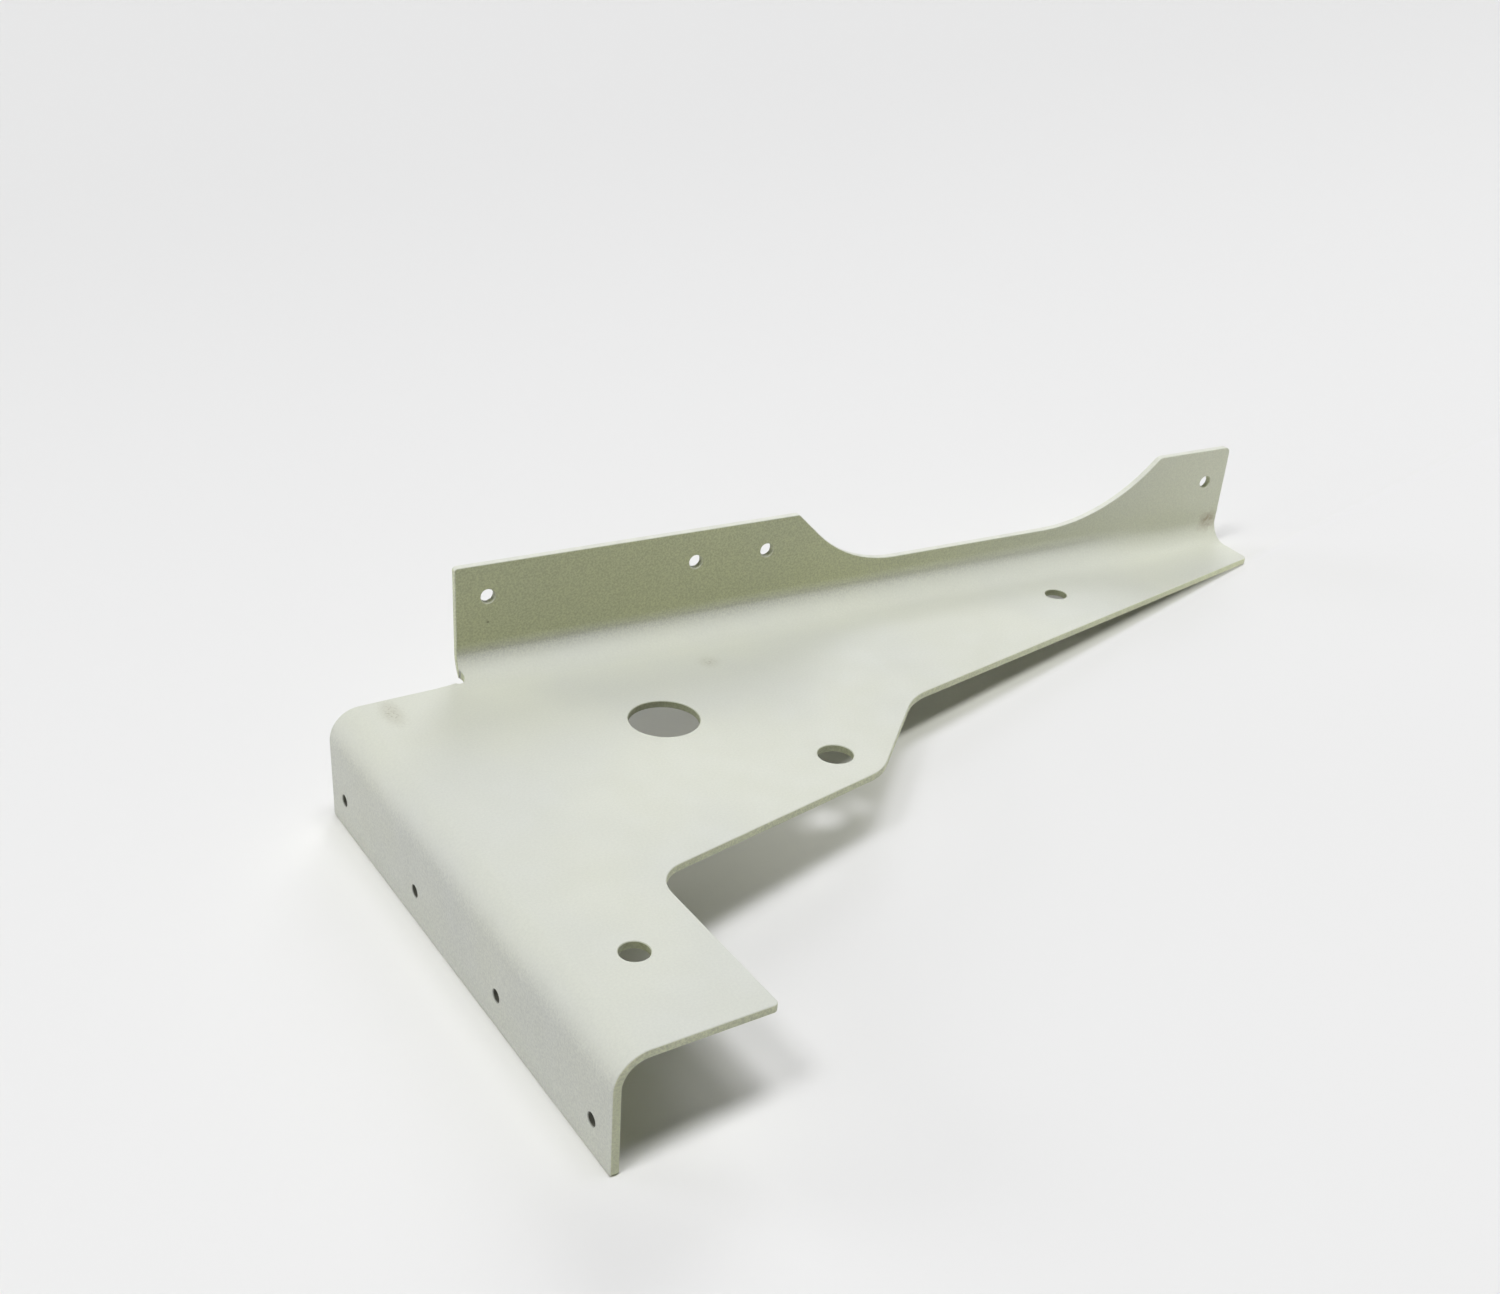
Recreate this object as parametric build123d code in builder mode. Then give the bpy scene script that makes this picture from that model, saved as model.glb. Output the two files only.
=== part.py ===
"""Wing actuator bracket: one piece of painted light-alloy sheet, folded up along its back and down along its left side.

Millimetres. The origin is the centre of the large hole on the web's top face, +X runs along the upturned flange,
+Y points back to that flange and +Z up.
"""

import os
from math import radians, sqrt, tan

from build123d import *

# Sheet: its thickness with paint, the inside radius of both folds, the round on its cut edges and the bevel of its holes
sheet = 2.1
bend_radius = 6.35
edge_round = 0.3
hole_bevel = 0.2

# Upturned flange: its inner face and its two ends from the large hole, and its height over the web's top face
up_face = 41.5
up_left = -42.0
up_right = 224.3
up_height = 31.75

# The scoop between the flange's two lugs: a straight ramp with a round foot on the left, one long arc on the right
left_lug = 104.1
right_lug = 29.0
low_height = 13.4
ramp_angle = 45
ramp_foot_radius = 38.1
scoop_radius = 60.0
left_lug_corner = 1.0
scoop_corner = 3.0
right_lug_corner = 2.0

# Rivet holes of the upturned flange: first and last from its ends, the inner pair from the scoop's edge
up_hole = 4.04
up_hole_inset = 9.2
up_hole_drop = 9.4
last_hole_inset = 8.1
last_hole_drop = 11.1
inner_hole_inset = 10.1
inner_hole_pitch = 22.8

# Downturned flange: it stands askew to the other one by this angle. Its outer face is measured from the large hole,
# its front end along it from there, and its depth from the web's top face
skew = 4.0
down_face = 76.95
down_front = 113.8
down_depth = 31.0
down_corner = 0.8

# Rivet row of the downturned flange, evenly spaced between holes at the same inset from its two ends
down_hole = 3.25
down_hole_drop = 22.0
down_hole_inset = 8.7
down_hole_count = 4

# Front edge of the web: a tab beside the downturned flange, a notch beside the tab, and a step to the slender tail
tab_width = 39.35
notch_depth = 52.4
step_front = (40.7, -44.35)
step_back = (68.8, -14.5)
tail_end_width = 17.5
tab_corner = 1.5
notch_radius = 9.0
step_front_radius = 16.0
step_back_radius = 19.0
tail_corner = 2.0

# Holes of the web. The tab's hole is placed from the tab's own edges, and the tail's hole from the tail's end
large_hole = 19.05
middle_hole = 9.4
middle_hole_at = (33.0, -33.1)
tab_hole = 7.2
tab_hole_to_face = 21.15
tab_hole_to_front = 29.6
tail_hole = 6.7
tail_hole_to_end = 77.85
tail_hole_to_face = 17.3

# Free edge of the web at the back left, square to the downturned flange: how far it stays before the upturned flange's
# inner face at that flange's end, the round relief there, and the length over which the fold fades out beside it
free_edge_setback = 3.65
relief_radius = 1.6
relief_past_end = 0.6
relief_past_edge = 1.0
fade_length = 8.0

# Faces that meet at more than this angle leave a cut edge, which is rounded
sharp_angle = 45

# Frame of the downturned flange: its first axis is the flange's outward normal, its second runs along it to the front
down_frame = Plane.XY.rotated((0, 0, 180 + skew))


def beside_down_flange(outward, forward):
    """Returns the point of the web at these distances from the large hole, square to and along the down flange."""
    return down_frame.from_local_coords((outward, forward))


def borders_a_cut(edge):
    """Tells whether two faces of the sheet meet sharply at this edge."""
    middle = edge @ 0.5
    normals = [face.normal_at(middle) for face in sheet_faces if edge in face.edges()]
    return len(normals) == 2 and normals[0].get_angle(normals[1]) > sharp_angle


# Lines where the flat web ends and its folds begin
up_fold = up_face - bend_radius
down_fold = down_face - bend_radius - sheet

# Corners of the web
tab_inner = down_face - tab_width
relief_corner = Vector(up_left, up_face - free_edge_setback)
down_back = down_frame.to_local_coords(relief_corner).Y
back_left = beside_down_flange(down_fold, down_back)
fade_corner = relief_corner + Vector(-fade_length, -fade_length * tan(radians(skew)))
fade_width = relief_corner.Y - up_fold + sheet / 2
front_left = beside_down_flange(down_fold, down_front)
tab_front = beside_down_flange(tab_inner, down_front)
notch = beside_down_flange(tab_inner, down_front - notch_depth)
tail_end = (up_right, up_face - tail_end_width)

with BuildPart() as bracket:
    # Web
    with BuildSketch(Plane.XY.offset(-sheet)):
        with BuildLine():
            Polyline(
                (up_right, up_fold),
                (up_left - fade_length, up_fold),
                fade_corner,
                back_left,
                front_left,
                tab_front,
                notch,
                step_front,
                step_back,
                tail_end,
                close=True,
            )
        make_face()
        for corner, radius in (
            (tab_front, tab_corner),
            (notch, notch_radius),
            (step_front, step_front_radius),
            (step_back, step_back_radius),
            (tail_end, tail_corner),
        ):
            fillet(vertices().sort_by_distance(corner)[0], radius)
        Circle(large_hole / 2, mode=Mode.SUBTRACT)
        with Locations(middle_hole_at):
            Circle(middle_hole / 2, mode=Mode.SUBTRACT)
        with Locations(beside_down_flange(down_face - tab_hole_to_face, down_front - tab_hole_to_front)):
            Circle(tab_hole / 2, mode=Mode.SUBTRACT)
        with Locations((up_right - tail_hole_to_end, up_face - tail_hole_to_face)):
            Circle(tail_hole / 2, mode=Mode.SUBTRACT)
    extrude(amount=sheet)

    # Wall of the upturned flange
    scoop_left = up_left + left_lug
    scoop_right = up_right - right_lug
    scoop_depth = up_height - low_height
    scoop_arc_start = scoop_right - sqrt(scoop_radius**2 - (scoop_radius - scoop_depth) ** 2)
    ramp_foot = scoop_left + scoop_depth / tan(radians(ramp_angle))
    with BuildSketch(Plane.XZ.offset(-up_face - sheet)):
        with BuildLine():
            FilletPolyline(
                (scoop_left, up_height),
                (ramp_foot, low_height),
                (scoop_arc_start, low_height),
                radius=ramp_foot_radius,
            )
            RadiusArc((scoop_arc_start, low_height), (scoop_right, up_height), -scoop_radius)
            Polyline(
                (scoop_right, up_height),
                (up_right, up_height),
                (up_right, bend_radius),
                (up_left, bend_radius),
                (up_left, up_height),
                (scoop_left, up_height),
            )
        make_face()
        for corner, radius in (
            ((up_left, up_height), left_lug_corner),
            ((scoop_left, up_height), left_lug_corner),
            ((scoop_right, up_height), scoop_corner),
            ((up_right, up_height), right_lug_corner),
        ):
            fillet(vertices().sort_by_distance(corner)[0], radius)
        with Locations(
            (up_left + up_hole_inset, up_height - up_hole_drop),
            (scoop_left - inner_hole_inset - inner_hole_pitch, up_height - up_hole_drop),
            (scoop_left - inner_hole_inset, up_height - up_hole_drop),
            (up_right - last_hole_inset, up_height - last_hole_drop),
        ):
            Circle(up_hole / 2, mode=Mode.SUBTRACT)
    extrude(amount=sheet)

    # Upper fold: a quarter ring along the whole flange
    with BuildSketch(Plane.YZ.offset(up_left)):
        with Locations((up_fold, bend_radius)):
            Circle(bend_radius + sheet)
            Circle(bend_radius, mode=Mode.SUBTRACT)
            Rectangle(
                bend_radius + sheet, bend_radius + sheet, align=(Align.MIN, Align.MAX), mode=Mode.INTERSECT
            )
    extrude(amount=up_right - up_left)

    # Wall of the downturned flange, drawn on its inner face: first axis to the front, second axis up
    wall_inner = down_face - sheet
    wall_plane = Plane(
        origin=down_frame.from_local_coords((wall_inner, 0, 0)),
        x_dir=down_frame.y_dir,
        z_dir=down_frame.x_dir,
    )
    wall_top = -bend_radius - sheet
    with BuildSketch(wall_plane):
        with BuildLine():
            Polyline(
                (down_back, wall_top),
                (down_back, -down_depth),
                (down_front, -down_depth),
                (down_front, wall_top),
                close=True,
            )
        make_face()
        fillet(vertices().group_by(Axis.Y)[0], down_corner)
        down_hole_pitch = (down_front - down_back - 2 * down_hole_inset) / (down_hole_count - 1)
        with Locations(((down_back + down_front) / 2, -down_hole_drop)):
            with GridLocations(down_hole_pitch, 1, down_hole_count, 1):
                Circle(down_hole / 2, mode=Mode.SUBTRACT)
    extrude(amount=sheet)

    # Lower fold: a quarter ring along the whole flange
    fold_plane = Plane(
        origin=down_frame.from_local_coords((down_fold, down_front, wall_top)),
        x_dir=down_frame.x_dir,
        z_dir=-down_frame.y_dir,
    )
    with BuildSketch(fold_plane):
        Circle(bend_radius + sheet)
        Circle(bend_radius, mode=Mode.SUBTRACT)
        Rectangle(
            bend_radius + sheet, bend_radius + sheet, align=(Align.MIN, Align.MIN), mode=Mode.INTERSECT
        )
    extrude(amount=down_front - down_back)

    # The upper fold fades out to the left of its flange, up to the web's free edge
    with BuildSketch(Plane.YZ.offset(up_left)):
        with Locations((up_fold, bend_radius)):
            Circle(bend_radius + sheet)
            Circle(bend_radius, mode=Mode.SUBTRACT)
        with Locations((up_fold, 0)):
            Rectangle(fade_width, 2 * bend_radius, align=(Align.MIN, Align.CENTER), mode=Mode.INTERSECT)
    with BuildSketch(Plane.YZ.offset(up_left - fade_length)):
        with Locations((up_fold, 0)):
            Rectangle(fade_width, sheet, align=(Align.MIN, Align.MAX))
    loft()
    with BuildSketch(Plane.XY.offset(-bend_radius)):
        with BuildLine():
            Polyline(
                relief_corner,
                fade_corner,
                (up_left - fade_length, up_face),
                (up_left, up_face),
                close=True,
            )
        make_face()
    extrude(amount=2 * bend_radius, mode=Mode.SUBTRACT)

    # Relief
    relief_at = relief_corner + Vector(-relief_past_end, relief_past_edge)
    with Locations((relief_at.X, relief_at.Y, up_height)):
        Hole(relief_radius)

    # Bevelled hole rims, and a round along the other cut edges
    sheet_faces = faces()
    cut_edges = edges().filter_by(borders_a_cut)
    chamfer(cut_edges.filter_by(lambda edge: edge.is_closed), hole_bevel)
    fillet(cut_edges.filter_by(lambda edge: not edge.is_closed), edge_round)

bracket.part.label = "bracket"
os.makedirs("parts", exist_ok=True)
export_step(bracket.part, "parts/bracket.step")
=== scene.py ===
"""Looks of a wing actuator bracket: one folded sheet of light alloy under satin grey-green paint.

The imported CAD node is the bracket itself. This file paints it, lays it on a pale studio floor, lights it softly from
above and behind, and sets the camera at the photograph's viewing angle. Metres, in the CAD frame: the origin is the
centre of the large hole on the web's top face, +X runs along the upturned flange, +Y points back to that flange and
+Z up.
"""

import logging
import math
from dataclasses import dataclass, field
from enum import Enum

import bpy
from mathutils import Matrix, Vector

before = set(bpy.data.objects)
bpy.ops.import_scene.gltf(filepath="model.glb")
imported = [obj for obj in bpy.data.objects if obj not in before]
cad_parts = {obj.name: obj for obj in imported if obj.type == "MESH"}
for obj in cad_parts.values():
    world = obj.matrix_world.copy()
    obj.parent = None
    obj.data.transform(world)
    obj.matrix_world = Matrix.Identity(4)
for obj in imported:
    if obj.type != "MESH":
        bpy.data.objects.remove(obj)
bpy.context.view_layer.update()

logging.basicConfig(level=logging.INFO, format="%(message)s")
log = logging.getLogger("bracket")

MM = 0.001
Colour = tuple[float, float, float]
Point = tuple[float, float, float]
Span = tuple[float, float]
Holes = tuple[tuple[float, float, float], ...]
COOL: Colour = (1.0, 1.0, 1.20)


def srgb(red: int, green: int, blue: int) -> Colour:
    """Turns a colour as it shows on screen into the linear values that a shader takes.

    Args:
        red: Red, from 0 to 255.
        green: Green, from 0 to 255.
        blue: Blue, from 0 to 255.

    Returns:
        The linear red, green and blue.
    """
    def linear(level: int) -> float:
        """Returns one channel's linear value."""
        share = level / 255
        return share / 12.92 if share <= 0.04045 else ((share + 0.055) / 1.055) ** 2.4

    return linear(red), linear(green), linear(blue)


class MarkKind(Enum):
    """How a mark on the paint breaks up: the size of its grain in metres and how much of it shows."""

    SMUDGE = (2.2 * MM, 0.75)
    SPECKS = (0.9 * MM, 0.45)
    SPOT = (4.0 * MM, 0.95)


@dataclass(frozen=True)
class Mark:
    """A small stain on the paint, round or drawn out along one direction.

    Attributes:
        kind: How the stain breaks up.
        centre: Its place in millimetres.
        reach: How far it spreads along X, Y and Z in millimetres.
        colour: Its colour.
        strength: How much of the paint's colour it takes away at its middle.
    """

    kind: MarkKind
    centre: Point
    reach: Point
    colour: Colour
    strength: float


class Graph:
    """The nodes of a material or a world, added one after another and linked as they are added."""

    def __init__(self, owner: bpy.types.Material | bpy.types.World) -> None:
        """Starts an empty graph.

        Args:
            owner: The material or world whose nodes are made here.
        """
        owner.use_nodes = True
        self.tree = owner.node_tree
        self.tree.nodes.clear()

    def add(self, kind: str, **settings: object) -> bpy.types.Node:
        """Adds a node.

        Args:
            kind: Its Blender type, without the ShaderNode in front.
            **settings: Properties of the node to set.

        Returns:
            The new node.
        """
        node = self.tree.nodes.new("ShaderNode" + kind)
        for name, value in settings.items():
            setattr(node, name, value)
        return node

    def feed(self, socket: bpy.types.NodeSocket, value: object) -> None:
        """Links a socket to another one, or sets its own value.

        Args:
            socket: The input socket.
            value: An output socket, a number, a vector or a colour.
        """
        if isinstance(value, bpy.types.NodeSocket):
            self.tree.links.new(value, socket)
        elif isinstance(value, tuple) and len(value) == 3 and socket.type == "RGBA":
            socket.default_value = (*value, 1.0)
        else:
            socket.default_value = value

    def maths(self, operation: str, *values: object, clamp: bool = False) -> bpy.types.NodeSocket:
        """Works out a number.

        Args:
            operation: The Math node's operation.
            *values: Its inputs.
            clamp: Whether the result is kept between 0 and 1.

        Returns:
            The result's socket.
        """
        node = self.add("Math", operation=operation, use_clamp=clamp)
        for socket, value in zip(node.inputs, values):
            self.feed(socket, value)
        return node.outputs[0]

    def vector(self, operation: str, *values: object) -> bpy.types.Node:
        """Works out a vector, and returns the Vector Math node, whose output 0 is a vector and output 1 a number."""
        node = self.add("VectorMath", operation=operation)
        for socket, value in zip(node.inputs, values):
            self.feed(socket, value)
        return node

    def split(self, value: bpy.types.NodeSocket) -> bpy.types.NodeOutputs:
        """Returns the X, Y and Z sockets of a vector."""
        node = self.add("SeparateXYZ")
        self.feed(node.inputs[0], value)
        return node.outputs

    def product(self, *values: object) -> bpy.types.NodeSocket:
        """Returns the product of several numbers, as a socket."""
        result = values[0]
        for value in values[1:]:
            result = self.maths("MULTIPLY", result, value)
        return result

    def ramp(self, value: object, low: float, high: float, out_low: object = 0.0, out_high: object = 1.0,
             smooth: bool = True) -> bpy.types.NodeSocket:
        """Maps a number from one range to another, and holds it at the ends.

        Args:
            value: The number.
            low: The input at which the output is out_low.
            high: The input at which the output is out_high.
            out_low: The output at the low end.
            out_high: The output at the high end.
            smooth: Whether it eases in and out.

        Returns:
            The mapped number's socket.
        """
        node = self.add("MapRange", interpolation_type="SMOOTHSTEP" if smooth else "LINEAR")
        for socket, number in zip(node.inputs, (value, low, high, out_low, out_high)):
            self.feed(socket, number)
        return node.outputs[0]

    def noise(self, place: object, grain: float, detail: float = 2.0, roughness: float = 0.5
              ) -> bpy.types.NodeSocket:
        """Returns a cloudy value about 0.5 whose patches are about as large as grain, in metres."""
        node = self.add("TexNoise")
        for name, value in (("Vector", place), ("Scale", 1 / grain), ("Detail", detail), ("Roughness", roughness)):
            self.feed(node.inputs[name], value)
        return node.outputs["Fac"]

    def grey(self, level: object) -> bpy.types.NodeSocket:
        """Returns a grey of this level as a colour."""
        node = self.add("CombineColor")
        for socket in node.inputs:
            self.feed(socket, level)
        return node.outputs[0]

    def mix(self, share: object, under: object, over: object, blend: str = "MIX") -> bpy.types.NodeSocket:
        """Lays one colour over another.

        Args:
            share: How much of the upper colour shows, from 0 to 1.
            under: The lower colour.
            over: The upper colour.
            blend: The Mix node's way of blending.

        Returns:
            The mixed colour's socket.
        """
        node = self.add("Mix", data_type="RGBA", blend_type=blend)
        self.feed(node.inputs[0], share)
        self.feed(node.inputs[6], under)
        self.feed(node.inputs[7], over)
        return node.outputs[2]

    def finish(self, kind: str, elsewhere: bpy.types.Node, seen: bpy.types.Node) -> None:
        """Ends the graph in an output that shows one shader to the camera and another one to all other rays.

        Args:
            kind: The output's Blender type, without the ShaderNode in front.
            elsewhere: The shader for light that doesn't go to the camera.
            seen: The shader that the camera sees.
        """
        either = self.add("MixShader")
        self.feed(either.inputs[0], self.add("LightPath").outputs["Is Camera Ray"])
        self.feed(either.inputs[1], elsewhere.outputs[0])
        self.feed(either.inputs[2], seen.outputs[0])
        self.feed(self.add(kind).inputs["Surface"], either.outputs[0])


@dataclass(frozen=True)
class SheetShape:
    """The folded sheet's own planes, by which the paint tells its cut edges from its broad faces. Millimetres.

    Attributes:
        thickness: The sheet with its paint.
        bend_radius: The inside radius of both folds.
        soft_radius: The radius that the paint's build-up rounds the upper fold's shading to.
        soft_stretch: How much steeper than a round fold that shading turns.
        up_face: The upturned flange's inner face, along +Y.
        up_left: The upturned flange's left end, along +X.
        tightens: Where that shading starts and ends to draw in to the fold's own radius, along +X.
        down_face: The downturned flange's outer face, along its own outward normal.
        skew: How far the downturned flange stands askew to the other one, in degrees.
        hole_rim: How far past its bevel a hole's rim still takes the hole walls' painted shade.
        web_holes: The web's holes: place along X and Y, and radius.
        up_holes: The upturned flange's holes: place along X and Z, and radius.
        down_holes: The downturned flange's holes: place along it to the front and along Z, and radius.
    """

    thickness: float = 2.1
    bend_radius: float = 6.35
    soft_radius: float = 9.8
    soft_stretch: float = 1.6
    up_face: float = 41.5
    up_left: float = -42.0
    tightens: Span = (160.0, 206.0)
    down_face: float = 76.95
    skew: float = 4.0
    hole_rim: float = 0.15
    web_holes: Holes = (
        (0.0, 0.0, 9.525), (33.0, -33.1, 4.7), (-49.79, -87.89, 3.6), (146.45, 24.2, 3.35))
    up_holes: Holes = (
        (-32.8, 22.35, 2.02), (29.2, 22.35, 2.02), (52.0, 22.35, 2.02), (216.2, 20.65, 2.02))
    down_holes: Holes = (
        (-31.99, -22.0, 1.625), (13.71, -22.0, 1.625), (59.40, -22.0, 1.625), (105.10, -22.0, 1.625))

    @property
    def holes(self) -> tuple[tuple[Vector, float], ...]:
        """Returns the middle of each hole and the radius of a ball round it that holds the hole's wall."""
        half = self.thickness / 2
        middles = [(Vector((x, y, -half)), radius) for x, y, radius in self.web_holes]
        middles += [(Vector((x, self.up_face + half, z)), radius) for x, z, radius in self.up_holes]
        out, front = Vector(self.outward), Vector(self.forward)
        middles += [(out * (self.down_face - half) + front * along + Vector((0, 0, z)), radius)
                    for along, z, radius in self.down_holes]
        return tuple((middle, math.hypot(radius, half) + self.hole_rim) for middle, radius in middles)

    @property
    def outward(self) -> Point:
        """Returns the downturned flange's outward normal."""
        turn = math.radians(self.skew)
        return -math.cos(turn), -math.sin(turn), 0.0

    @property
    def forward(self) -> Point:
        """Returns the direction along the downturned flange, to its front."""
        turn = math.radians(self.skew)
        return math.sin(turn), -math.cos(turn), 0.0


@dataclass(frozen=True)
class SatinPaint:
    """Sprayed satin paint: its colour, its fine speckle, its orange-peel skin and the stains on it.

    Attributes:
        shape: The sheet that it covers.
        marks: The stains.
        name: The material's name.
        cool: The paint where it looks greyest.
        warm: The paint where it looks creamiest.
        cut: The thicker, yellower paint on cut edges.
        cut_top_highlight: The same made lighter where an edge faces up, a painted highlight.
        hole_wall_shade: Hole walls darkened by painted shade.
        rivet_hole_shade: Deeper painted shade, near black, in the downturned flange's rivet holes.
        inner_face_shade: What the paint's colour is multiplied by on the upturned flange's inner face, a painted shade
            that darkens it and turns it olive.
        inner_shade_heights: From which height to which that painted shade grows up that face, in metres.
        shade_and_grain_fade: From where to where that painted shade fades and the grain gets finer, along +X in
            metres.
        inner_shade_at_right: How much of that painted shade is left there.
        deep: From which height down to which only the downturned flange's rivet holes lie, in metres.
        speckle: How much lighter or darker its grain is on the web.
        spray: The same on the upturned flange's left part, where the spray dried coarsest.
        finest: How much of that grain is left at the flange's right end.
        lower: How much of it the downturned flange has.
        cloud_size: The width of the patches of cool and warm paint, in metres.
        build_up_size: The width of the uneven patches on cut edges, in metres.
        grain_size: The width of the speckle's grains, in metres.
        haze_size: The width of the patches that are more or less matt, in metres.
        roughness: How matt the skin is.
        peel_grain: The width of the orange-peel's bumps, in metres.
        peel_height: The height of the orange-peel's bumps, in metres.
        refraction: The paint's index of refraction.
        gloss: Its specular level.
    """

    shape: SheetShape
    marks: tuple[Mark, ...] = ()
    name: str = "satin_grey_green_paint"
    cool: Colour = (0.597, 0.613, 0.462)
    warm: Colour = (0.622, 0.637, 0.462)
    cut: Colour = (0.66, 0.685, 0.40)
    cut_top_highlight: Colour = (0.70, 0.715, 0.52)
    hole_wall_shade: Colour = (0.43, 0.45, 0.25)
    rivet_hole_shade: Colour = (0.12, 0.12, 0.08)
    inner_face_shade: Colour = (0.89, 0.91, 0.71)
    inner_shade_heights: Span = (5.0 * MM, 9.5 * MM)
    shade_and_grain_fade: Span = (60 * MM, 200 * MM)
    inner_shade_at_right: float = 0.2
    deep: Span = (-9 * MM, -12 * MM)
    speckle: float = 0.025
    spray: float = 0.13
    finest: float = 0.4
    lower: float = 0.6
    cloud_size: float = 70 * MM
    build_up_size: float = 3.5 * MM
    grain_size: float = 0.6 * MM
    haze_size: float = 9 * MM
    roughness: float = 0.57
    peel_grain: float = 0.8 * MM
    peel_height: float = 0.03 * MM
    refraction: float = 1.47
    gloss: float = 0.42

    def share_of_cut(self, graph: Graph, place: bpy.types.NodeSocket, normal: bpy.types.NodeSocket
                     ) -> bpy.types.NodeSocket:
        """Tells the cut edges and hole walls from the broad faces of web, folds and flanges.

        Args:
            graph: The material's graph.
            place: Object coordinates.
            normal: The surface's normal.

        Returns:
            A socket that is 1 on cut edges and hole walls and 0 on broad faces.
        """
        shape = self.shape
        at, facing = graph.split(place), graph.split(normal)
        out = graph.vector("DOT_PRODUCT", place, shape.outward).outputs[1]
        facing_out = graph.vector("DOT_PRODUCT", normal, shape.outward).outputs[1]
        facing_front = graph.vector("DOT_PRODUCT", normal, shape.forward).outputs[1]

        def square_on(component: bpy.types.NodeSocket) -> bpy.types.NodeSocket:
            """Returns how squarely the surface faces along this direction, from 0 to 1."""
            return graph.maths("ABSOLUTE", component)

        def square_to(component: bpy.types.NodeSocket) -> bpy.types.NodeSocket:
            """Returns how squarely the surface faces away from this direction, from 0 to 1."""
            return graph.maths("SQRT", graph.maths("SUBTRACT", 1.0, graph.maths("POWER", component, 2.0), clamp=True))

        def choose(test: bpy.types.NodeSocket, yes: object, no: object) -> bpy.types.NodeSocket:
            """Returns the first number where the test is 1 and the second where it is 0."""
            node = graph.add("Mix", data_type="FLOAT")
            for socket, value in zip(node.inputs[:1] + node.inputs[2:4], (test, no, yes)):
                graph.feed(socket, value)
            return node.outputs[0]

        fold = shape.bend_radius * MM
        in_up = graph.maths("GREATER_THAN", at["Y"], (shape.up_face - shape.bend_radius) * MM)
        in_up_wall = graph.maths("GREATER_THAN", at["Z"], fold)
        up = choose(in_up_wall, square_on(facing["Y"]), square_to(facing["X"]))
        in_down = graph.maths("GREATER_THAN", out, (shape.down_face - shape.thickness - shape.bend_radius) * MM)
        in_down_wall = graph.maths("LESS_THAN", at["Z"], -fold - shape.thickness * MM)
        down = choose(in_down_wall, square_on(facing_out), square_to(facing_front))
        broad = choose(in_up, up, choose(in_down, down, square_on(facing["Z"])))
        return graph.ramp(broad, 0.9, 0.5)

    def share_of_holes(self, graph: Graph, place: bpy.types.NodeSocket) -> bpy.types.NodeSocket:
        """Returns a socket that is 1 in and at the rim of the sheet's holes, where their painted shade goes, and 0
        elsewhere.
        """
        share = 0.0
        for middle, reach in self.shape.holes:
            apart = graph.vector("DISTANCE", place, tuple(v * MM for v in middle)).outputs[1]
            share = graph.maths("MAXIMUM", share, graph.maths("LESS_THAN", apart, reach * MM))
        return share

    def share_of_inner_shade(self, graph: Graph, place: bpy.types.NodeSocket, normal: bpy.types.NodeSocket
                            ) -> bpy.types.NodeSocket:
        """Returns a socket that is 1 where the upturned flange's inner face gets its painted shade, less to its right
        end, and 0 elsewhere.
        """
        at, facing = graph.split(place), graph.split(normal)
        return graph.product(graph.ramp(facing["Y"], -0.85, -0.99), graph.ramp(at["Z"], *self.inner_shade_heights),
                             graph.ramp(at["X"], *self.shade_and_grain_fade, 1.0, self.inner_shade_at_right))

    def softened(self, graph: Graph, place: bpy.types.NodeSocket, normal: bpy.types.NodeSocket,
                 broad: bpy.types.NodeSocket) -> bpy.types.NodeSocket:
        """Turns the normal round the upper fold as a wider and softer fold would.

        Args:
            graph: The material's graph.
            place: Object coordinates.
            normal: The surface's normal.
            broad: 1 on broad faces and 0 on cut edges.

        Returns:
            The softened normal's socket.
        """
        shape = self.shape
        radius = shape.soft_radius * MM
        axis = (0.0, shape.up_face * MM - radius, radius)
        inward = graph.vector("SUBTRACT", axis, place).outputs[0]
        inward = graph.vector("MULTIPLY", inward, (0.0, 1.0, shape.soft_stretch)).outputs[0]
        side = graph.maths("SIGN", graph.vector("DOT_PRODUCT", inward, normal).outputs[1])
        round_normal = graph.vector("SCALE", graph.vector("NORMALIZE", inward).outputs[0])
        graph.feed(round_normal.inputs["Scale"], side)
        at = graph.split(place)
        share = graph.product(broad, graph.ramp(at["X"], *(v * MM for v in shape.tightens), 1.0, 0.0),
                              graph.maths("GREATER_THAN", at["X"], shape.up_left * MM),
                              graph.maths("GREATER_THAN", at["Y"], axis[1]),
                              graph.maths("LESS_THAN", at["Z"], radius))
        blend = graph.add("Mix", data_type="VECTOR")
        graph.feed(blend.inputs[0], share)
        graph.feed(blend.inputs[4], normal)
        graph.feed(blend.inputs[5], round_normal.outputs[0])
        return graph.vector("NORMALIZE", blend.outputs[1]).outputs[0]

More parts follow.
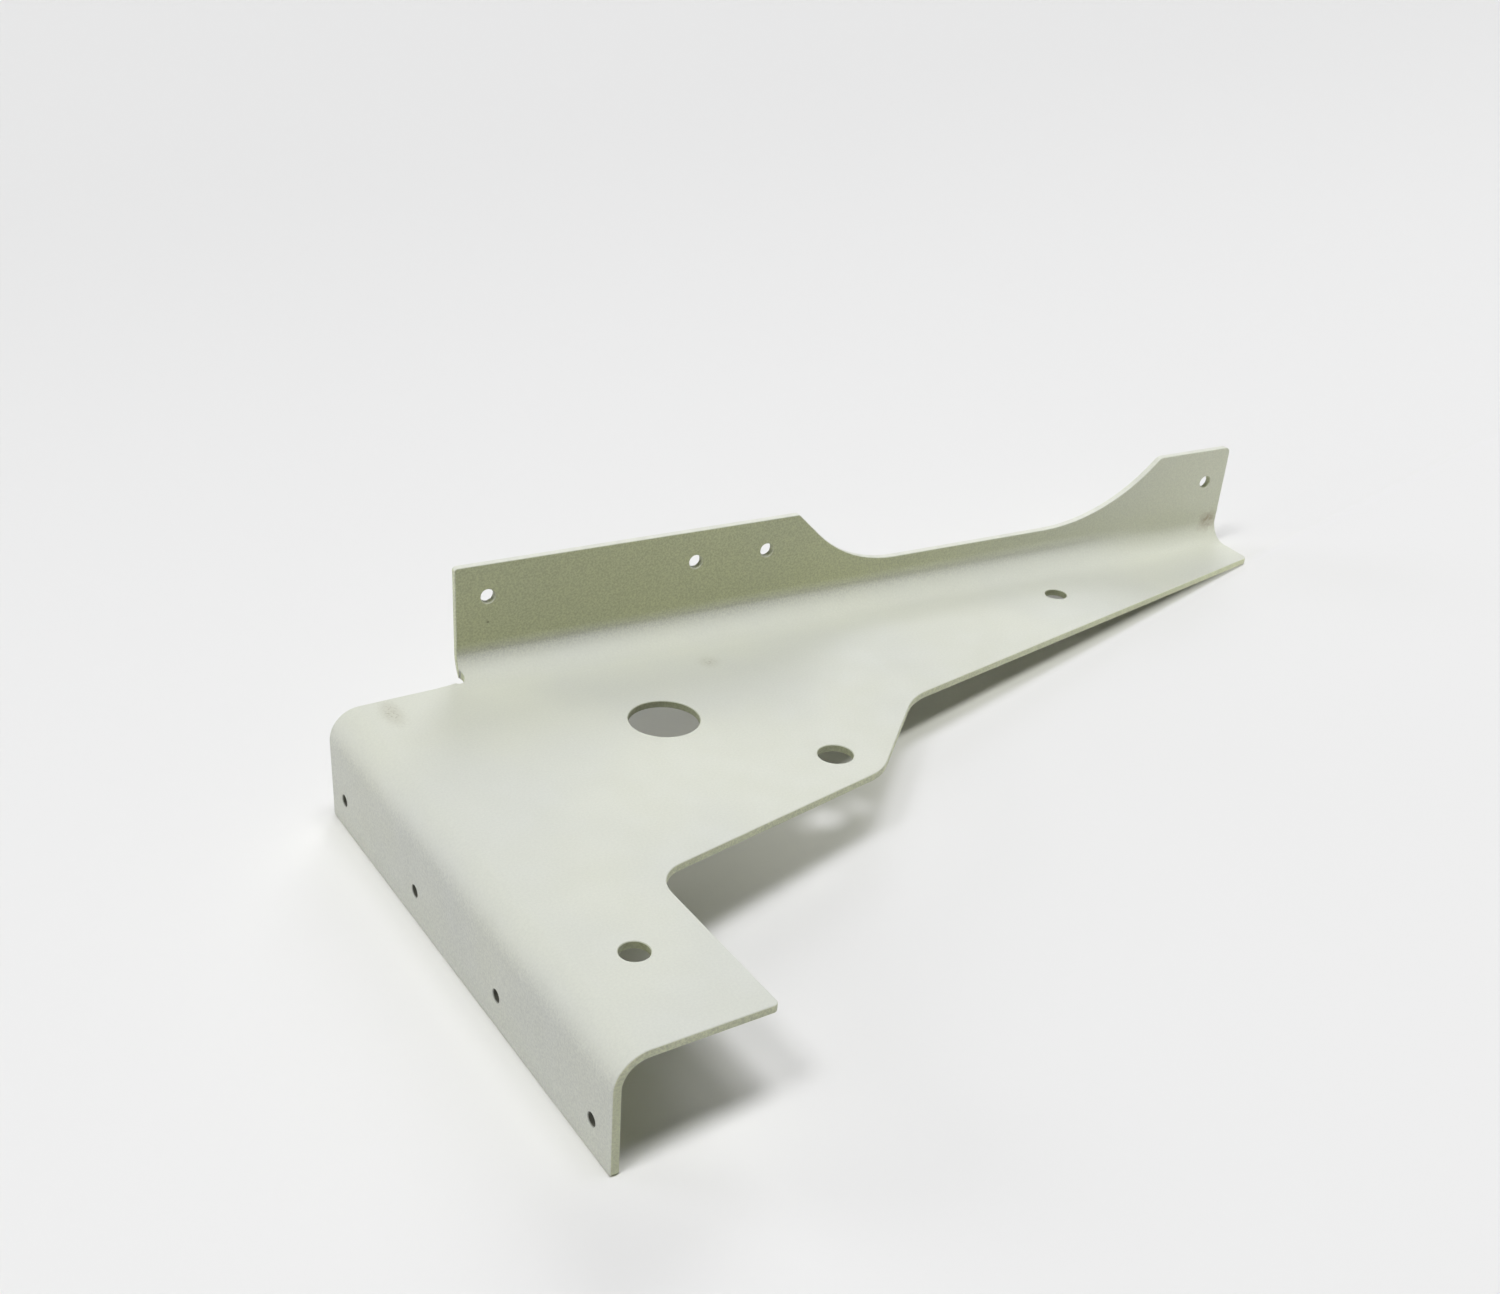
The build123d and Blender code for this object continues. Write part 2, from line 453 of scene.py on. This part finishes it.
    def stain(self, graph: Graph, place: bpy.types.NodeSocket, under: bpy.types.NodeSocket, mark: Mark
              ) -> bpy.types.NodeSocket:
        """Lays one stain over the paint's colour.

        Args:
            graph: The material's graph.
            place: Object coordinates.
            under: The colour so far.
            mark: The stain.

        Returns:
            The colour with the stain on it.
        """
        grain, cover = mark.kind.value
        offset = graph.vector("SUBTRACT", place, tuple(v * MM for v in mark.centre)).outputs[0]
        shrunk = graph.vector("DIVIDE", offset, tuple(v * MM for v in mark.reach)).outputs[0]
        distance = graph.vector("LENGTH", shrunk).outputs[1]
        patch = graph.noise(place, grain, detail=3.0, roughness=0.6)
        ragged = graph.maths("ADD", distance, graph.maths("MULTIPLY", graph.maths("SUBTRACT", patch, 0.5), 1.6))
        inside = graph.ramp(ragged, 1.0, 0.15)
        broken = graph.ramp(patch, 0.62 - 0.3 * cover, 0.66, 0.25, 1.0)
        share = graph.maths("MULTIPLY", graph.maths("MULTIPLY", inside, broken), mark.strength)
        return graph.mix(share, under, mark.colour)

    def coat(self, graph: Graph, place: bpy.types.NodeSocket, normal: bpy.types.NodeSocket,
             on_cut: bpy.types.NodeSocket) -> bpy.types.NodeSocket:
        """Mixes the paint's colour, with its painted shade and highlight, on broad faces, cut edges and hole walls,
        without its speckle and stains.

        Args:
            graph: The material's graph.
            place: Object coordinates.
            normal: The surface's normal.
            on_cut: 1 on cut edges and hole walls and 0 on broad faces.

        Returns:
            The colour's socket.
        """
        at, facing = graph.split(place), graph.split(normal)
        clouds = graph.ramp(graph.noise(place, self.cloud_size), 0.38, 0.62)
        broad = graph.mix(clouds, self.cool, self.warm)
        # Painted shade: the upturned flange's inner face is darkened and turned olive, less towards its right end.
        broad = graph.mix(self.share_of_inner_shade(graph, place, normal), broad,
                          graph.vector("MULTIPLY", broad, self.inner_face_shade).outputs[0])
        # Painted highlight: cut edges that face up are lighter.
        cut = graph.mix(graph.ramp(facing["Z"], 0.2, 0.8), self.cut, self.cut_top_highlight)
        build_up = graph.ramp(graph.noise(place, self.build_up_size), 0.3, 0.7, 0.07, 0.0)
        cut = graph.mix(build_up, cut, (0.0, 0.0, 0.0))
        # Painted shade: hole walls darker, and the downturned flange's rivet holes near black.
        hole_wall_shade = graph.mix(graph.ramp(at["Z"], *self.deep), self.hole_wall_shade, self.rivet_hole_shade)
        cut = graph.mix(self.share_of_holes(graph, place), cut, hole_wall_shade)
        return graph.mix(on_cut, broad, cut)

    def speckled(self, graph: Graph, place: bpy.types.NodeSocket, normal: bpy.types.NodeSocket,
                 colour: bpy.types.NodeSocket) -> bpy.types.NodeSocket:
        """Makes a colour lighter and darker by the spray's grain, which is coarse on the flanges and faint on the web.

        Args:
            graph: The material's graph.
            place: Object coordinates.
            normal: The surface's normal.
            colour: The colour so far.

        Returns:
            The speckled colour's socket.
        """
        at = graph.split(place)
        spray = graph.product(graph.ramp(at["X"], *self.shade_and_grain_fade, self.spray, self.finest * self.spray),
                              graph.ramp(at["Z"], self.deep[0], 0.0, self.lower, 1.0))
        level = graph.maths("ABSOLUTE", graph.split(normal)["Z"])
        reach = graph.ramp(level, 0.05, 0.6, spray, self.speckle)
        grain = graph.ramp(graph.noise(place, self.grain_size, roughness=0.7), 0.3, 0.7, -1.0, 1.0)
        return graph.mix(1.0, colour, graph.grey(graph.maths("MULTIPLY_ADD", grain, reach, 1.0)), "MULTIPLY")

    def build(self) -> bpy.types.Material:
        """Builds the material.

        Returns:
            The painted finish.
        """
        material = bpy.data.materials.new(self.name)
        graph = Graph(material)
        place = graph.add("TexCoord").outputs["Object"]
        normal = graph.add("NewGeometry").outputs["Normal"]
        on_cut = self.share_of_cut(graph, place, normal)

        colour = self.speckled(graph, place, normal, self.coat(graph, place, normal, on_cut))
        for mark in self.marks:
            colour = self.stain(graph, place, colour, mark)

        bump = graph.add("Bump")
        graph.feed(bump.inputs["Distance"], self.peel_height)
        graph.feed(bump.inputs["Height"], graph.noise(place, self.peel_grain, detail=1.5, roughness=0.45))
        on_broad = graph.maths("SUBTRACT", 1.0, on_cut)
        graph.feed(bump.inputs["Normal"], self.softened(graph, place, normal, on_broad))

        shader = graph.add("BsdfPrincipled")
        haze = graph.noise(place, self.haze_size)
        matt = graph.ramp(haze, 0.3, 0.7, self.roughness - 0.05, self.roughness + 0.06)
        for name, value in (("Base Color", colour), ("Roughness", matt), ("Normal", bump.outputs["Normal"]),
                            ("IOR", self.refraction), ("Specular IOR Level", self.gloss)):
            graph.feed(shader.inputs[name], value)
        graph.feed(graph.add("OutputMaterial").inputs["Surface"], shader.outputs[0])
        material.diffuse_color = (*self.warm, 1.0)
        return material


@dataclass
class FoldedBracket:
    """The folded sheet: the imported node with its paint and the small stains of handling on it.

    Attributes:
        node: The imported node.
        shape: The planes of its web and flanges.
        handling: The colour of the brown stain at the tail.
        grime: The colour of the specks at the back left.
        smear: The colour of the faint smear behind the large hole.
        chip: The colour of the dark speck on the upturned flange.
    """

    node: str = "bracket"
    shape: SheetShape = field(default_factory=SheetShape)
    handling: Colour = srgb(120, 84, 22)
    grime: Colour = srgb(132, 124, 78)
    smear: Colour = srgb(146, 142, 104)
    chip: Colour = srgb(80, 84, 60)

    def marks(self) -> tuple[Mark, ...]:
        """Returns the stains on the paint, with their places in millimetres."""
        return (
            Mark(MarkKind.SMUDGE, (220.8, 40.5, 6.8), (5.6, 4.0, 4.6), self.handling, 0.85),
            Mark(MarkKind.SPECKS, (-64.4, 29.0, 0.0), (4.2, 10.0, 2.0), self.grime, 0.7),
            Mark(MarkKind.SPECKS, (25.6, 24.0, 0.0), (4.6, 4.4, 2.0), self.smear, 0.55),
            Mark(MarkKind.SPOT, (-32.9, 41.5, 14.8), (0.7, 1.0, 0.7), self.chip, 0.8),
        )

    def dress(self) -> bpy.types.Object:
        """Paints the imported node.

        Returns:
            The painted node.
        """
        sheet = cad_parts[self.node]
        paint = SatinPaint(self.shape, self.marks()).build()
        for slot in sheet.material_slots:
            slot.material = paint
        log.info("%s: %d faces, painted with %s", sheet.name, len(sheet.data.polygons), paint.name)
        return sheet


@dataclass(frozen=True)
class MattGround:
    """The floor's matt white finish. The camera alone sees its shadows lifted by painted light, most of all beside the
    slender tail.

    Attributes:
        name: The material's name.
        near: How bright the lit floor looks to the camera near the object.
        far: The same far behind the object.
        fades: Where it begins and ends to fade from near to far, along +Y in metres.
        returns: Where it begins and ends to fade back to near, to meet the backdrop.
        lift: How bright the deepest shadow looks beside the tail.
        lift_tint: The colour of the painted light in the shadows, tinted like light off the paint.
        rises: Where the lift begins and ends to grow, along +X in metres.
        tail_edge: A point of the tail's front edge, where the lift has its reference line.
        tail_front: The direction square to that line, to the front, which opens from the tail's edge towards its tip.
        starts: Where the lift starts and is whole, in front of that line in metres.
        light: The light on the floor.
        bounce: How much light the floor sends back to the object.
    """

    name: str = "matt_white_ground"
    near: float = 0.864
    far: float = 0.805
    fades: Span = (0.0, 0.7)
    returns: Span = (1.8, 9.0)
    lift: float = 0.52
    lift_tint: Colour = (1.0, 1.01, 0.90)
    rises: Span = (-50 * MM, 100 * MM)
    tail_edge: Point = (68.8 * MM, -14.5 * MM, 0.0)
    tail_front: Point = (0.206, -0.979, 0.0)
    starts: Span = (-8.8 * MM, -4.8 * MM)
    light: Colour = (1.12, 1.12, 1.34)
    bounce: float = 0.76

    def build(self) -> bpy.types.Material:
        """Builds the material.

        Returns:
            The floor's finish.
        """
        material = bpy.data.materials.new(self.name)
        graph = Graph(material)
        place = graph.add("TexCoord").outputs["Object"]
        at = graph.split(place)
        from_edge = graph.vector("SUBTRACT", place, self.tail_edge).outputs[0]
        in_front = graph.vector("DOT_PRODUCT", from_edge, self.tail_front).outputs[1]
        lift = graph.product(graph.ramp(in_front, *self.starts),
                             graph.ramp(at["X"], *self.rises, 0.0, self.lift, smooth=False))
        bright = graph.grey(graph.maths("ADD", graph.ramp(at["Y"], *self.fades, self.near, self.far),
                                        graph.ramp(at["Y"], *self.returns, 0.0, self.near - self.far)))
        # Painted light: an emission that the camera alone sees lifts the floor's shadows in front of the tail's edge,
        # more towards +X.
        shadow = graph.vector("MULTIPLY", graph.grey(lift), self.lift_tint).outputs[0]
        lit = graph.vector("DIVIDE", graph.vector("SUBTRACT", bright, shadow).outputs[0], self.light).outputs[0]
        seen, glow, plain = graph.add("BsdfDiffuse"), graph.add("Emission"), graph.add("BsdfDiffuse")
        graph.feed(seen.inputs["Color"], lit)
        graph.feed(glow.inputs["Color"], shadow)
        graph.feed(plain.inputs["Color"], (self.bounce,) * 3)
        lifted = graph.add("AddShader")
        graph.feed(lifted.inputs[0], seen.outputs[0])
        graph.feed(lifted.inputs[1], glow.outputs[0])
        graph.finish("OutputMaterial", plain, lifted)
        return material


@dataclass
class StudioFloor:
    """A plain pale floor. The bracket leans on its downturned flange and its tail, so the floor slopes in its frame.

    Attributes:
        up: The direction square to the floor.
        size: The floor's side, in metres.
        finish: The floor's finish.
    """

    up: Point = (-0.0947, -0.0065, 0.9955)
    size: float = 40.0
    finish: MattGround = field(default_factory=MattGround)

    def level(self, resting: bpy.types.Object) -> float:
        """Returns how far from the origin, along its own up, the floor touches the resting object."""
        up = Vector(self.up).normalized()
        return min(up.dot(vertex.co) for vertex in resting.data.vertices)

    def build(self, resting: bpy.types.Object) -> bpy.types.Object:
        """Lays the floor under the object.

        Args:
            resting: The object that rests on the floor.

        Returns:
            The floor.
        """
        up = Vector(self.up).normalized()
        bpy.ops.object.select_all(action="DESELECT")
        bpy.ops.mesh.primitive_plane_add(size=self.size)
        floor = bpy.context.active_object
        floor.name = "studio_floor"
        turn = Vector((0, 0, 1)).rotation_difference(up).to_matrix().to_4x4()
        floor.data.transform(Matrix.Translation(up * self.level(resting)) @ turn)
        floor.data.materials.append(self.finish.build())
        log.info("%s: %.0f m square, %.1f mm under the web", floor.name, self.size, -self.level(resting) / MM)
        return floor


@dataclass(frozen=True)
class Lamp:
    """A soft lamp, far away.

    Attributes:
        name: Its name.
        comes_from: The direction that its light comes from.
        strength: Its strength.
        spread: How wide it looks from the object, in degrees.
        tint: The colour of its light.
    """

    name: str
    comes_from: Point
    strength: float
    spread: float
    tint: Colour = (1.0, 1.0, 1.0)

    def hang(self) -> bpy.types.Object:
        """Hangs the lamp.

        Returns:
            The lamp.
        """
        data = bpy.data.lights.new(self.name, "SUN")
        data.energy = self.strength
        data.angle = math.radians(self.spread)
        data.color = self.tint
        lamp = bpy.data.objects.new(self.name, data)
        lamp.rotation_euler = Vector(self.comes_from).to_track_quat("Z", "Y").to_euler()
        bpy.context.scene.collection.objects.link(lamp)
        return lamp


@dataclass(frozen=True)
class NearLamp:
    """A small soft lamp close to the object.

    Attributes:
        name: Its name.
        place: Where it hangs, in metres.
        aim: What it points at, in metres.
        power: Its power in watts.
        size: Its width in metres.
    """

    name: str
    place: Point
    aim: Point
    power: float
    size: float

    def hang(self, target: bpy.types.Object) -> bpy.types.Object:
        """Hangs the lamp.

        Args:
            target: The object that it lights, and nothing else.

        Returns:
            The lamp.
        """
        data = bpy.data.lights.new(self.name, "AREA")
        data.shape = "DISK"
        data.energy = self.power
        data.size = self.size
        lamp = bpy.data.objects.new(self.name, data)
        lamp.location = self.place
        lamp.rotation_euler = (Vector(self.place) - Vector(self.aim)).to_track_quat("Z", "Y").to_euler()
        lamp.visible_camera = False
        bpy.context.scene.collection.objects.link(lamp)
        lit = bpy.data.collections.new(self.name + "_target")
        lit.objects.link(target)
        lamp.light_linking.receiver_collection = lit
        return lamp


@dataclass
class SoftLight:
    """Soft studio light: three lamps overhead, three behind and to the left, a small one at the tail, and a dim dome.

    Attributes:
        lamps: The lamps, far away.
        tail_lamp: The lamp at the tail.
        dome: The dome's strength.
        backdrop: How bright the dome looks to the camera.
    """

    lamps: tuple[Lamp, ...] = (
        Lamp("overhead_lamp", (-0.05, -0.09, 1.0), 1.30, 16.0, COOL),
        Lamp("overhead_left_lamp", (-0.55, -0.12, 1.0), 0.98, 16.0, COOL),
        Lamp("overhead_right_lamp", (0.20, -0.09, 1.0), 0.59, 16.0, COOL),
        Lamp("rear_left_lamp", (-0.68, 0.68, 0.26), 0.67, 26.0, COOL),
        Lamp("rear_right_lamp", (0.45, 0.70, 0.57), 0.82, 26.0, COOL),
        Lamp("left_lamp", (-0.97, 0.0, 0.26), 0.24, 26.0, COOL),
    )
    tail_lamp: NearLamp = NearLamp("tail_lamp", (0.36, -0.17, 0.03), (0.20, 0.04, 0.02), 0.19, 0.07)
    dome: float = 0.01
    backdrop: float = 0.864

    def build(self, sheet: bpy.types.Object) -> None:
        """Hangs the lamps and sets the dome.

        Args:
            sheet: The folded sheet.
        """
        for lamp in self.lamps:
            lamp.hang()
        self.tail_lamp.hang(sheet)
        world = bpy.data.worlds.new("studio_dome")
        bpy.context.scene.world = world
        graph = Graph(world)
        dome, backdrop = graph.add("Background"), graph.add("Background")
        for background, strength in ((dome, self.dome), (backdrop, self.backdrop)):
            graph.feed(background.inputs["Color"], (1.0, 1.0, 1.0))
            graph.feed(background.inputs["Strength"], strength)
        graph.finish("OutputWorld", dome, backdrop)
        log.info("studio light: %d lamps, dome %.2f", len(self.lamps) + 1, self.dome)


@dataclass
class PhotographCamera:
    """The camera where the photograph was taken from, as solved from the holes and edges that it shows.

    Attributes:
        place: Where it stands, in millimetres.
        aim: The point that its axis passes through, in millimetres.
        roll: How far its right side is turned up, in degrees.
        lens: Its focal length for a frame 36 mm wide.
        rise: Its vertical shift, as a share of the frame's width.
    """

    place: Point = (-184.722, -359.579, 231.436)
    aim: Point = (6.917, -34.941, 0.0)
    roll: float = 4.2865
    lens: float = 42.379
    rise: float = 0.08727

    def build(self) -> bpy.types.Object:
        """Sets up the camera and makes it the scene's.

        Returns:
            The camera.
        """
        place, aim = Vector(self.place) * MM, Vector(self.aim) * MM
        data = bpy.data.cameras.new("photograph_camera")
        data.sensor_width = 36.0
        data.lens = self.lens
        data.shift_y = self.rise
        data.clip_start = 0.01
        data.clip_end = 100.0
        camera = bpy.data.objects.new("photograph_camera", data)
        level = (aim - place).to_track_quat("-Z", "Y").to_matrix().to_4x4()
        camera.matrix_world = Matrix.Translation(place) @ level @ Matrix.Rotation(math.radians(self.roll), 4, "Z")
        bpy.context.scene.collection.objects.link(camera)
        bpy.context.scene.camera = camera
        log.info("camera: %.1f mm lens, %.0f mm from its aim", self.lens, (aim - place).length / MM)
        return camera


def write_size() -> None:
    def plain(box: object) -> list[list[float]]:
        """Returns a box's two corners as plain lists."""
        return [[float(v) for v in corner] for corner in box]


def main() -> None:
    """Builds the scene in order: camera, bracket, floor and light."""
    bpy.context.scene.view_settings.view_transform = "Standard"
    PhotographCamera().build()
    sheet = FoldedBracket().dress()
    StudioFloor().build(sheet)
    SoftLight().build(sheet)
    write_size()


if __name__ == "__main__":
    main()
